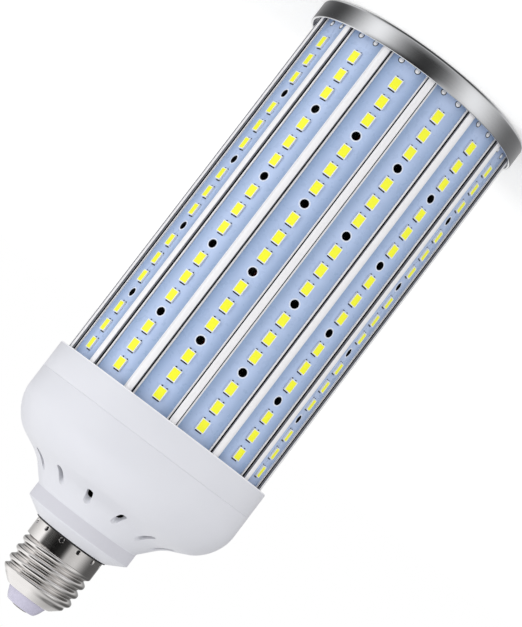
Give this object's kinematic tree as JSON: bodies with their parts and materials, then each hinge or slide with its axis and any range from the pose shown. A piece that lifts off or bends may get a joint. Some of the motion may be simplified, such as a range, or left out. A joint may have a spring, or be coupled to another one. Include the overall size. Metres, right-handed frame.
{
  "type": "corn led bulb",
  "caption": "Corn LED bulb: many-sided metal body with LED boards between rails, a metal ring at one end and a flared white housing with a screw base at the other.",
  "frame": {"origin": "centre of the flat end of the cap ring, on which the bulb stands", "axes": "+Z runs along the bulb's axis from the cap ring to the tip of the screw base; +X points at the middle of one LED board"},
  "size_m": [0.0848, 0.0848, 0.2224],
  "materials": {
    "extrusion": "satin, as extruded",
    "ring": "turned and polished",
    "board": "gloss solder mask on an aluminium core",
    "led": "yellow phosphor in a white frame",
    "screw_steel": "zinc plated",
    "white_plastic": "semi-gloss moulding",
    "nickel_shell": "nickel plated",
    "insulator": "lilac-white",
    "contact": "plated, slightly worn",
    "driver_laminate": "green laminate",
    "ferrite": "sintered",
    "winding_tape": "yellow tape",
    "capacitor_sleeve": "shrunk sleeve",
    "epoxy": "moulded",
    "lead_jacket": "wire jacket"
  },
  "bodies": {
    "root": {"heat_sink_body": "extrusion", "cap_ring": "ring", "end_board": "board", "end_board_chips": "led", "end_board_screws": "screw_steel", "collar": "white_plastic", "collar_screws": "screw_steel", "lower_housing": "white_plastic", "screw_shell": "nickel_shell", "base_insulator": "insulator", "center_contact": "contact", "driver_board": "driver_laminate", "driver_screws": "screw_steel", "transformer_core": "ferrite", "transformer_winding": "winding_tape", "input_capacitor": "capacitor_sleeve", "output_capacitors": "capacitor_sleeve", "choke": "capacitor_sleeve", "bridge_rectifier": "epoxy", "mains_leads": "lead_jacket", "output_leads": "lead_jacket", "led_board_01": "board", "led_chips_01": "led", "led_board_02": "board", "led_chips_02": "led", "led_board_03": "board", "led_chips_03": "led", "led_board_04": "board", "led_chips_04": "led", "led_board_05": "board", "led_chips_05": "led", "led_board_06": "board", "led_chips_06": "led", "led_board_07": "board", "led_chips_07": "led", "led_board_08": "board", "led_chips_08": "led", "led_board_09": "board", "led_chips_09": "led", "led_board_10": "board", "led_chips_10": "led", "led_board_11": "board", "led_chips_11": "led", "led_board_12": "board", "led_chips_12": "led", "led_board_13": "board", "led_chips_13": "led", "led_board_14": "board", "led_chips_14": "led"}
  },
  "joints": []
}
